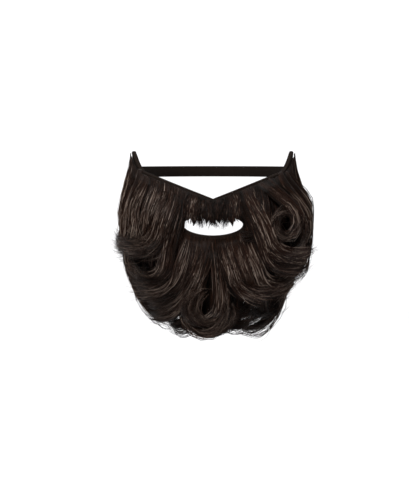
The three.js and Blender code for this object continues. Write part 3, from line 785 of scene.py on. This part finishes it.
def core_locks(rows):
    """The streaked locks beneath the strands, as vertices, triangles and UVs."""
    columns = columns_of(rows)
    first = face_normal(columns["turn"], columns["height"] * NOSE_TO_CHIN)
    rings, sides = 22, 8
    points, across, outs, share = framed(lock_lines(columns), rings, first)
    size = np.interp(share, LOCK_TAPER[:, 0], LOCK_TAPER[:, 1])
    size = size * np.interp(share, CORE_TAPER[:, 0], CORE_TAPER[:, 1])
    half = (columns["width"] * LOCK_WIDTH / 2)[:, None] * size
    a = 2 * math.pi * np.arange(sides) / sides
    ring = (
        points[:, :, None]
        + across[:, :, None] * (half[..., None] * np.cos(a))[..., None]
        + outs[:, :, None] * (half[..., None] * LOCK_FLATNESS * np.sin(a))[..., None]
    )
    one = split(np.concatenate([tube_faces(rings, sides), strip_caps(rings, sides)]))
    base = (np.arange(len(rows)) * rings * sides)[:, None, None]
    # round a lock the streaks run out and back, so that they meet where the tube closes
    round_it = np.abs(np.arange(sides) - sides / 2) / (sides / 2) * 0.9
    across_uv = np.arange(len(rows))[:, None, None] + round_it[None, None, :]
    across_uv = across_uv / (len(rows) + BED_ROWS)
    along_uv = np.linspace(0, 1, rings)[None, :, None]
    uvs = np.stack(np.broadcast_arrays(across_uv, along_uv), axis=-1).reshape(-1, 2)
    return ring.reshape(-1, 3), (one[None] + base).reshape(-1, 3), uvs


def core_and_bed(name):
    """The core locks of a weft with the bed that they grow from, in one mesh's arrays."""
    rows = lock_rows(name)
    verts, faces, uvs = core_locks(rows)
    weft = dict(zip(WEFT_COLUMNS, WEFTS[name]))
    low = BACKING_WALL + CLEARANCE
    steps, falls = 30, 14
    wall, tri = wall_mesh(
        weft["from_turn"], weft["to_turn"], EDGES[weft["top"]], EDGES[weft["bottom"]],
        low, low + BED_THICKNESS, steps, falls,
    )
    # the bed's streaks take the spare rows beside the locks'
    spread = np.linspace(len(rows), len(rows) + BED_ROWS, steps + 1)[:, None]
    spread = spread / (len(rows) + BED_ROWS)
    down = np.linspace(0, 1, falls + 1)
    down = np.concatenate([down, down[::-1]])[None, :]
    flat = np.stack(np.broadcast_arrays(spread, down), axis=-1).reshape(-1, 2)
    faces = np.concatenate([faces, tri + len(verts)])
    return np.concatenate([verts, wall]), faces, np.concatenate([uvs, flat])


def split(quads):
    """Quads as triangles."""
    return np.concatenate([quads[:, [0, 1, 2]], quads[:, [0, 2, 3]]])


def strip_caps(rings, size):
    """Quads that close both ends of a tube, in strips between its ring's two halves."""
    last = (rings - 1) * size
    caps = []
    for k in range(size // 2 - 1):
        far = size - 1 - k
        caps.append([k, far, far - 1, k + 1])
        caps.append([last + k, last + k + 1, last + far - 1, last + far])
    return np.array(caps)


def wall_mesh(from_turn, to_turn, top, bottom, low, high, columns, rows):
    """A wall that follows the form between two lifts, as vertices and triangles."""
    turns = np.linspace(from_turn, to_turn, columns + 1)
    share = np.linspace(0, 1, rows + 1)
    heights = top(turns)[:, None] + (bottom(turns) - top(turns))[:, None] * share[None, :]
    grid_turns = np.broadcast_to(turns[:, None], heights.shape)
    outside = over_face(grid_turns, heights, np.full(heights.shape, high))
    inside = over_face(grid_turns, heights, np.full(heights.shape, low))[:, ::-1]
    loops = np.concatenate([outside, inside], axis=1)
    size = loops.shape[1]
    quads = np.concatenate([tube_faces(columns + 1, size), strip_caps(columns + 1, size)])
    return loops.reshape(-1, 3), split(quads)


UNDER_WEIGHT = 0.6
FEWEST_STRANDS = 12
WISP_SPREAD = 0.5


def weft_object(name, node, seed, settings, materials):
    """The strands of a weft over its core locks, as two objects that stand for its solid."""
    rng = np.random.default_rng(seed)
    weft = dict(zip(WEFT_COLUMNS, WEFTS[node]))
    rows = lock_rows(node)
    weight = np.array([UNDER_WEIGHT if "count" in row else 1.0 for row in rows])
    counts = np.maximum(FEWEST_STRANDS, (weight / weight.sum() * weft["strands"]).astype(int))
    edge = EDGES[weft["top"]]
    paths, tones = strand_paths(rows, counts, rng, settings.strand_rings, WISP_SPREAD, edge)
    radii = settings.strand_width / MM / 2 * rng.uniform(0.6, 1.4, len(paths))
    hair = mesh_object(name, *tubes(paths, radii, tones))
    place(hair, materials["hair"], "hair", node)
    core = outward(mesh_object(name + "_core", *core_and_bed(node)))
    place(core, materials["core"], "hair", node)


# Cloth.


def mouth_points(steps):
    """Turns and heights round the mouth opening."""
    angle = 2 * math.pi * (np.arange(steps) + 0.5) / steps
    reach = np.where(np.sin(angle) > 0, MOUTH_RISE, MOUTH_DROP)
    height = MOUTH_HEIGHT + reach * np.sin(angle)
    x = MOUTH_WIDTH / 2 * np.cos(angle)
    return np.degrees(np.arcsin(x / half_width_at(height))), height


def backing_object(name):
    """The cloth wall from ear to ear, with the mouth opening cut through it."""
    verts, faces = wall_mesh(
        -BACKING_END, BACKING_END, top_edge, jaw_edge, 0, BACKING_WALL, 112, 30
    )
    wall = outward(mesh_object(name, verts, faces))
    steps = 64
    turns, heights = mouth_points(steps)
    # the cutter reaches well past both faces of the wall
    rings = [over_face(turns, heights, np.full(steps, lift)) for lift in (-4.5, 6.0)]
    quads = np.concatenate([tube_faces(2, steps), strip_caps(2, steps)])
    cutter = outward(mesh_object("mouth_cutter", np.concatenate(rings), split(quads)))
    cut = wall.modifiers.new("mouth", "BOOLEAN")
    cut.operation, cut.object, cut.solver = "DIFFERENCE", cutter, "EXACT"
    apply_modifiers(wall)
    bpy.data.objects.remove(cutter)
    return wall


def apply_modifiers(obj):
    graph = bpy.context.evaluated_depsgraph_get()
    mesh = bpy.data.meshes.new_from_object(obj.evaluated_get(graph))
    obj.modifiers.clear()
    obj.data = mesh
    mesh.name = obj.name


def fold_section():
    """The section of a binding with its fold rounded, as lifts and distances into the cloth."""
    middle = BACKING_WALL / 2

    def side(reach):
        a = math.pi * np.arange(9) / 8
        fold = np.stack([middle - (middle + reach) * np.cos(a), -reach * np.sin(a)], axis=1)
        down = [(-reach, BINDING_LEG), (-reach, BINDING_LEG / 2)]
        up = [(BACKING_WALL + reach, BINDING_LEG / 2), (BACKING_WALL + reach, BINDING_LEG)]
        return np.concatenate([down, fold, up])

    return np.concatenate([side(CLEARANCE + BINDING_THICKNESS), side(CLEARANCE)[::-1]])


def binding_object(name, turns, heights, ring):
    """A binding folded over an edge of the backing, closed into a ring or not."""
    at = face_point(turns, heights)
    out = face_normal(turns, heights)
    if ring:
        along = np.roll(at, -1, 0) - np.roll(at, 1, 0)
    else:
        along = np.gradient(at, axis=0)
    into = unit(np.cross(along, out))
    fold = fold_section()
    loops = at[:, None] + out[:, None] * fold[None, :, :1] + into[:, None] * fold[None, :, 1:]
    size = len(fold)
    quads = tube_faces(len(turns), size, closed=ring)
    if not ring:
        quads = np.concatenate([quads, strip_caps(len(turns), size)])
    return outward(mesh_object(name, loops.reshape(-1, 3), quads))


def strap_object(name):
    """The elastic, from inside one end of the backing round the back to the other."""
    start = BACKING_END - STRAP_LAP
    side_steps, back_steps = 12, 120
    turns = np.linspace(start, 90, side_steps)
    height = np.full(side_steps, STRAP_HEIGHT)
    lines = {}
    for key, lift in (("outer", -CLEARANCE), ("inner", -CLEARANCE - STRAP_THICKNESS)):
        side = over_face(turns, height, np.full(side_steps, lift))[:, :2]
        a = math.pi * np.arange(1, back_steps) / back_steps
        depth = HEAD_BACK + lift
        back = np.stack([side[-1, 0] * np.cos(a), side[-1, 1] + depth * np.sin(a)], 1)
        lines[key] = np.concatenate([side, back, (side * [-1, 1])[::-1]])
    # soft edges across the band, from the outside face round to the inside face
    profile = [(-1, 0.3), (-0.9, 0), (0.9, 0), (1, 0.3), (1, 0.7), (0.9, 1), (-0.9, 1), (-1, 0.7)]
    loops = []
    for across, depth in profile:
        xy = lines["outer"] * (1 - depth) + lines["inner"] * depth
        z = np.full(len(xy), STRAP_HEIGHT + across * STRAP_WIDTH / 2)
        loops.append(np.column_stack([xy, z]))
    loops = np.stack(loops, axis=1)
    count, sides = loops.shape[:2]
    quads = np.concatenate([tube_faces(count, sides), strip_caps(count, sides)])
    return outward(mesh_object(name, loops.reshape(-1, 3), quads))


def cloth_material(name, dark, light, scale, relief):
    """A fine knit: rows of small loops, in object space."""
    maker = Maker(name)
    where = maker.add("ShaderNodeTexCoord", output="Object")
    knit = maker.add(
        "ShaderNodeTexWave", {"wave_type": "BANDS", "bands_direction": "Z"},
        {"Vector": where, "Scale": scale, "Distortion": 1.5, "Detail": 2.0, "Detail Scale": 3.0},
        output="Fac",
    )
    mottle = maker.add("ShaderNodeTexNoise", {}, {"Vector": where, "Scale": 90.0, "Detail": 4.0})
    colour = maker.ramp(knit * 0.6 + mottle * 0.4, [(0.2, dark), (0.8, light)])
    bump = maker.add(
        "ShaderNodeBump", {}, {"Height": knit, "Strength": relief, "Distance": 0.0003}
    )
    return maker.finish(base=colour, rough=0.9, normal=bump, specular=0.03)


# Add-on.


class BeardSettings(bpy.types.PropertyGroup):
    hair_dark: bpy.props.FloatVectorProperty(
        name="Hair shade", description="Colour of the darkest strands", subtype="COLOR",
        default=srgb(4, 2, 1), min=0, max=1)
    hair_mid: bpy.props.FloatVectorProperty(
        name="Hair colour", description="Colour of most strands", subtype="COLOR",
        default=srgb(23, 12, 7), min=0, max=1)
    # the lightest strands' own colour, which the painted glints also reach as painted highlight
    hair_light: bpy.props.FloatVectorProperty(
        name="Hair light", description="Colour of the lightest strands", subtype="COLOR",
        default=srgb(97, 86, 78), min=0, max=1)
    strand_width: bpy.props.FloatProperty(
        name="Strand width", description="Width of one strand", default=0.0005, unit="LENGTH")
    strand_rings: bpy.props.IntProperty(
        name="Strand detail", description="Rings along a strand", default=12, min=6)
    cloth: bpy.props.FloatVectorProperty(
        name="Cloth", description="Colour of the backing", subtype="COLOR",
        default=srgb(16, 11, 8), min=0, max=1)


def beard_settings():
    return bpy.context.scene.beard


def shared_materials():
    """The two materials of the hair, made for the first weft that asks."""
    found = bpy.data.materials
    if "beard_hair" not in found:
        hair_material("beard_hair", beard_settings())
        core_material("beard_core", beard_settings())
    return {"hair": found["beard_hair"], "core": found["beard_core"]}


def dress_weft(name, node, seed):
    weft_object(name, node, seed, beard_settings(), shared_materials())


class BEARD_OT_moustache(bpy.types.Operator):
    """Makes the moustache over the mouth"""

    bl_idname = "beard.moustache"
    bl_label = "Moustache"

    def execute(self, context):
        dress_weft("moustache_hair", "moustache_weft", 3)
        return {"FINISHED"}


class BEARD_OT_cheeks(bpy.types.Operator):
    """Makes the hair of both cheeks"""

    bl_idname = "beard.cheeks"
    bl_label = "Cheek hair"

    def execute(self, context):
        dress_weft("left_cheek_hair", "left_cheek_weft", 5)
        dress_weft("right_cheek_hair", "right_cheek_weft", 7)
        return {"FINISHED"}


class BEARD_OT_chin(bpy.types.Operator):
    """Makes the hair of the chin"""

    bl_idname = "beard.chin"
    bl_label = "Chin hair"

    def execute(self, context):
        dress_weft("chin_hair", "chin_weft", 11)
        return {"FINISHED"}


class BEARD_OT_cloth(bpy.types.Operator):
    """Makes the backing, its bindings and the strap"""

    bl_idname = "beard.cloth"
    bl_label = "Backing and strap"

    def execute(self, context):
        tint = tuple(beard_settings().cloth)
        light = tuple(v * 1.8 for v in tint)
        cloth = cloth_material("backing_knit", tint, light, 260.0, 0.5)
        tape = cloth_material("binding_tape", tuple(v * 0.6 for v in tint), tint, 500.0, 0.3)
        elastic = cloth_material("strap_elastic", tuple(v * 0.5 for v in tint), tint, 420.0, 0.8)
        backing = place(backing_object("cloth_backing"), cloth, "backing_cloth", "backing")
        turns = np.linspace(-BACKING_END, BACKING_END, 141)
        place(binding_object("top_edge_binding", turns, top_edge(turns), False), tape,
              "binding_cloth", "top_binding")
        place(binding_object("mouth_edge_binding", *mouth_points(96), True), tape,
              "binding_cloth", "mouth_binding")
        place(strap_object("head_strap"), elastic, "elastic", "elastic_strap")
        return {"FINISHED"}


# The stage, in metres. The camera takes the photo's scale and looks from a little above.
MM_PER_PIXEL = 0.853
PHOTO_HEIGHT = 500
CAMERA_DISTANCE = 1.5
CAMERA_ELEVATION = 3
CAMERA_AIM = Vector((-0.00725, 0, 0.01435))
SENSOR = 36.0
FLOOR_LEVEL = -0.26
FLOOR_HALF_WIDTH = 9.0
FLOOR_FRONT = -9.0
WALL_BEND = 1.2
WALL_AT = 3.4
WALL_TOP = 4.5
SKY = (1.0, 0.98, 0.95, 1)
SKY_STRENGTH = 0.34
BEARD_MIDDLE = Vector((-0.00725, 0.03, 0.01435))
WALL_MIDDLE = Vector((0, 3.2, 0.3))

# Lamps: name, place, power in watts, size and what they point at.
LAMPS = (
    ("key", (-0.45, -1.2, 0.95), 74, 0.3, BEARD_MIDDLE),
    ("fill", (1.0, -0.9, 0.3), 8, 0.5, BEARD_MIDDLE),
    ("top", (0.2, 0.0, 1.5), 20, 0.6, BEARD_MIDDLE),
    ("wall_light", (0.0, 1.2, 2.4), 60, 1.2, WALL_MIDDLE),
)


def floor_object(name):
    """A paper floor that curves up into a wall behind."""
    bend = math.pi / 2 * np.arange(13) / 12
    foot = WALL_AT - WALL_BEND
    y = np.concatenate([[FLOOR_FRONT, foot - 0.8], foot + WALL_BEND * np.sin(bend), [WALL_AT]])
    z = np.concatenate([[0.0, 0.0], WALL_BEND * (1 - np.cos(bend)), [WALL_TOP]]) + FLOOR_LEVEL
    line = np.stack([np.zeros_like(y), y, z], axis=1) / MM
    edges = [line + [side * FLOOR_HALF_WIDTH / MM, 0, 0] for side in (-1, 1)]
    verts = np.stack(edges, axis=1).reshape(-1, 3)
    quads = [[2 * i, 2 * i + 1, 2 * i + 3, 2 * i + 2] for i in range(len(y) - 1)]
    floor = mesh_object(name, verts, quads)
    paper = Maker("pale_floor").finish(base=(0.72, 0.72, 0.73, 1), rough=0.9)
    floor.data.materials.append(paper)
    return floor


def stand(name, data, at, target):
    """Puts a lamp or camera into the scene, turned towards a point."""
    obj = bpy.data.objects.new(name, data)
    obj.location = at
    obj.rotation_euler = (target - Vector(at)).to_track_quat("-Z", "Y").to_euler()
    bpy.context.scene.collection.objects.link(obj)
    return obj


def light_stage(scene):
    world = bpy.data.worlds.new("soft_light")
    world.use_nodes = True
    sky = world.node_tree.nodes["Background"]
    sky.inputs["Color"].default_value = SKY
    sky.inputs["Strength"].default_value = SKY_STRENGTH
    scene.world = world
    for name, at, power, size, target in LAMPS:
        lamp = bpy.data.lights.new(name, "AREA")
        lamp.energy, lamp.size = power, size
        stand(name, lamp, at, target)


def aim_camera(scene):
    """A camera whose picture has the photo's scale at the beard."""
    camera = bpy.data.cameras.new("camera")
    camera.sensor_fit = "VERTICAL"
    camera.sensor_height = SENSOR
    camera.lens = SENSOR * (CAMERA_DISTANCE / MM / MM_PER_PIXEL) / PHOTO_HEIGHT
    camera.clip_end = 30
    elevation = math.radians(CAMERA_ELEVATION)
    back = Vector((0, -math.cos(elevation), math.sin(elevation)))
    scene.camera = stand("camera", camera, CAMERA_AIM + back * CAMERA_DISTANCE, CAMERA_AIM)


class BEARD_OT_stage(bpy.types.Operator):
    """Makes the floor, the lights and the camera"""

    bl_idname = "beard.stage"
    bl_label = "Stage"

    def execute(self, context):
        scene = bpy.context.scene
        scene.view_settings.view_transform = "Standard"
        floor_object("floor")
        light_stage(scene)
        aim_camera(scene)
        return {"FINISHED"}


PANEL_ROWS = ("hair_dark", "hair_mid", "hair_light", "strand_width", "strand_rings", "cloth")


class BEARD_PT_panel(bpy.types.Panel):
    bl_idname = "BEARD_PT_panel"
    bl_label = "Costume beard"
    bl_space_type = "VIEW_3D"
    bl_region_type = "UI"
    bl_category = "Beard"

    def draw(self, context):
        for name in PANEL_ROWS:
            self.layout.prop(context.scene.beard, name)
        for operator in OPERATORS:
            self.layout.operator(operator.bl_idname)


OPERATORS = (BEARD_OT_stage, BEARD_OT_cloth, BEARD_OT_moustache, BEARD_OT_cheeks, BEARD_OT_chin)
CLASSES = (BeardSettings, *OPERATORS, BEARD_PT_panel)


def register():
    for cls in CLASSES:
        bpy.utils.register_class(cls)
    bpy.types.Scene.beard = bpy.props.PointerProperty(type=BeardSettings)


def unregister():
    del bpy.types.Scene.beard
    for cls in reversed(CLASSES):
        bpy.utils.unregister_class(cls)


def main():
    register()
    bpy.ops.beard.stage()
    bpy.ops.beard.cloth()
    bpy.ops.beard.moustache()
    bpy.ops.beard.cheeks()
    bpy.ops.beard.chin()


if __name__ == "__main__":
    main()
